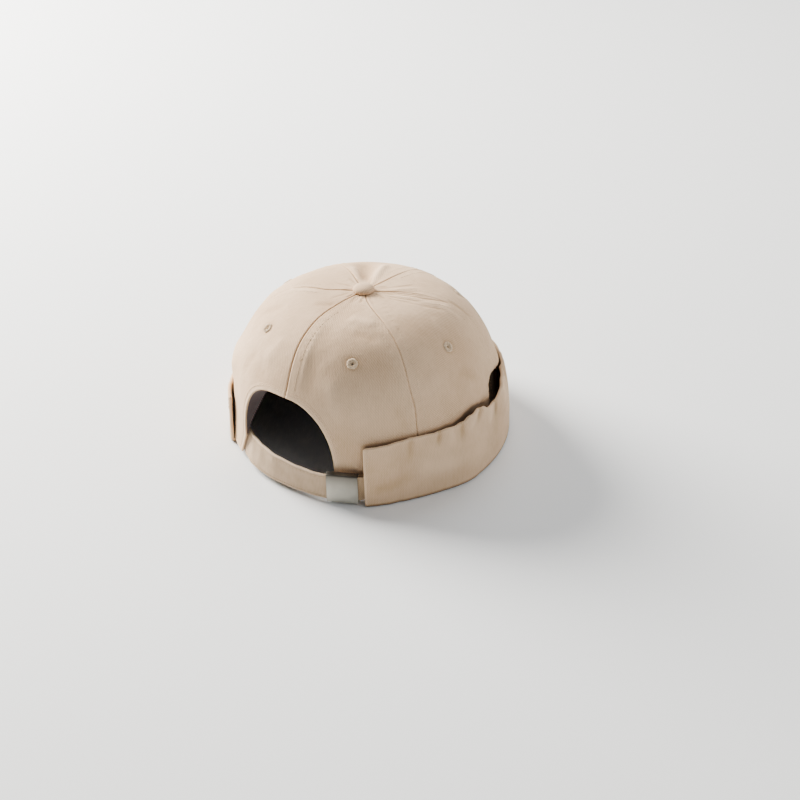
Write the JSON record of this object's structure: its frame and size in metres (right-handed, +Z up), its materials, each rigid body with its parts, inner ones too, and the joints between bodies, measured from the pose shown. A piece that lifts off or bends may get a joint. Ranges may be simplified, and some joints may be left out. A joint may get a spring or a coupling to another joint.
{
  "type": "sailor cap",
  "caption": "Brimless six-panel cotton cap with a turned-up cuff, an arched back opening, a cloth strap and a metal slide buckle.",
  "frame": {"origin": "middle of the footprint, on the plane that the cuff's fold lies on", "axes": "+Z up through the crown, -Y to the front of the cap, +Y to the back opening, +X to the wearer's left"},
  "size_m": [0.1942, 0.1958, 0.1093],
  "materials": {
    "crown_twill": "fine washed cotton twill, beige",
    "cuff_twill": "two layers of fine washed cotton twill, beige, edge stitched",
    "strap_twill": "folded and edge stitched cotton twill, beige",
    "eyelet_thread": "embroidery thread, beige, slight sheen",
    "satin_nickel": "satin nickel plated sheet"
  },
  "bodies": {
    "root": {"panel_rear_left": "crown_twill", "panel_rear_right": "crown_twill", "panel_side_right": "crown_twill", "panel_front_right": "crown_twill", "panel_front_left": "crown_twill", "panel_side_left": "crown_twill", "top_button": "crown_twill", "cuff": "cuff_twill", "strap": "strap_twill", "strap_tab": "strap_twill", "eyelet_rear_left": "eyelet_thread", "eyelet_rear_right": "eyelet_thread", "eyelet_side_right": "eyelet_thread", "eyelet_front_right": "eyelet_thread", "eyelet_front_left": "eyelet_thread", "eyelet_side_left": "eyelet_thread", "buckle": "satin_nickel"}
  },
  "joints": []
}
